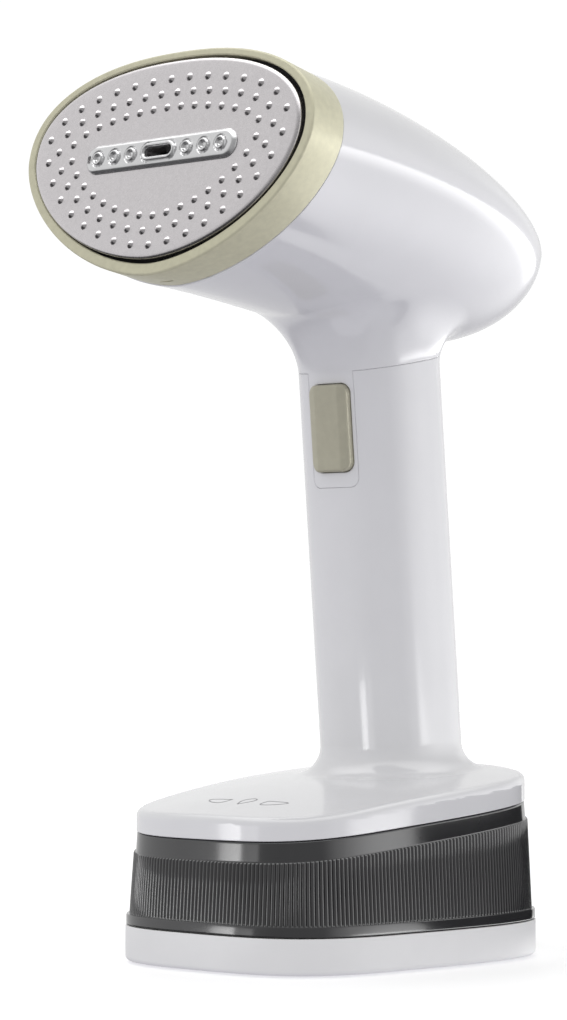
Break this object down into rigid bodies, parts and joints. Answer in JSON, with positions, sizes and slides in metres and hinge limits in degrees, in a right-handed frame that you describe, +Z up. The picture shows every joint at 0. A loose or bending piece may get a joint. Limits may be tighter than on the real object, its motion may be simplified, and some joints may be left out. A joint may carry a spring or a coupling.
{
  "type": "garment steamer",
  "caption": "Handheld garment steamer: egg-shaped soleplate with raised nozzles in a tapering head on a leaning handle, standing on a ribbed removable water tank.",
  "frame": {"origin": "centre of the footprint on the resting surface, which is also the middle of the whole object's plan box", "axes": "+Z up; -Y towards the soleplate, the front; X = 0 is the mirror plane"},
  "size_m": [0.1178, 0.1669, 0.2796],
  "materials": {
    "gloss_white_plastic": "glossy moulded, faint cool tint",
    "satin_white_plastic": "fine satin moulding texture",
    "smoke_plastic": "glossy smoke-grey, ribbed band",
    "champagne_finish": "satin champagne metallic finish",
    "champagne_plastic": "satin champagne moulded plastic",
    "satin_steel": "fine brushed satin",
    "bright_metal": "polished",
    "cast_aluminium": "as cast",
    "black_rubber": "matt moulded rubber",
    "silicone": "translucent-looking silicone",
    "black_plastic": "fine moulded texture",
    "circuit_board": "solder mask",
    "copper_winding": "enamelled winding"
  },
  "bodies": {
    "tank": {"base_pad": "black_rubber", "base_cap": "satin_white_plastic", "base_screw_1": "satin_steel", "base_screw_2": "satin_steel", "base_screw_3": "satin_steel", "base_screw_4": "satin_steel", "tank_body": "smoke_plastic", "tank_gasket": "black_rubber", "tank_cover": "black_plastic", "dock_socket": "black_plastic", "dock_ring": "black_rubber", "latch_post": "black_plastic"},
    "plug": {"filler_plug": "black_rubber"},
    "body": {"head_shell": "gloss_white_plastic", "grip_shell": "gloss_white_plastic", "trim_ring": "champagne_finish", "soleplate": "satin_steel", "nozzle_bar": "bright_metal", "plate_gasket": "black_rubber", "boiler_block": "cast_aluminium", "boiler_seal": "silicone", "boiler_cover": "cast_aluminium", "heater_terminal_left": "satin_steel", "heater_terminal_right": "satin_steel", "thermostat": "black_plastic", "thermal_fuse": "silicone", "heat_shield": "silicone", "steam_hose": "silicone", "pump_body": "black_plastic", "pump_coil": "copper_winding", "pump_outlet": "black_plastic", "control_board": "circuit_board", "microswitch": "black_plastic", "button_spring": "satin_steel", "suction_tube": "black_plastic", "suction_filter": "bright_metal", "suction_hose": "silicone", "latch_spring": "satin_steel", "cord_gland": "black_plastic"},
    "button": {"steam_button": "champagne_plastic"},
    "plunger": {"switch_plunger": "satin_white_plastic"},
    "release": {"release_button": "champagne_plastic"}
  },
  "joints": [
    {"name": "body_lift", "type": "slide", "parent": "tank", "child": "body", "axis": [0, 0, 1], "range_m": [0, 0.075]},
    {"name": "plug_pull", "type": "slide", "parent": "tank", "child": "plug", "axis": [0, 0, 1], "range_m": [0, 0.005]},
    {"name": "button_press", "type": "slide", "parent": "body", "child": "button", "axis": [0, 0.996, 0.0894], "range_m": [0, 0.0022], "stiffness_N_per_m": 700, "springref_m": -0.002},
    {"name": "plunger_press", "type": "slide", "parent": "body", "child": "plunger", "axis": [0, 0.996, 0.0894], "range_m": [0, 0.0022], "stiffness_N_per_m": 100, "springref_m": -0.001},
    {"name": "release_press", "type": "slide", "parent": "body", "child": "release", "axis": [0, -1, 0], "range_m": [0, 0.003], "stiffness_N_per_m": 600, "springref_m": -0.002}
  ],
  "couplings": [
    {"joint": "plunger_press", "follows": "button_press", "ratio": 1}
  ]
}
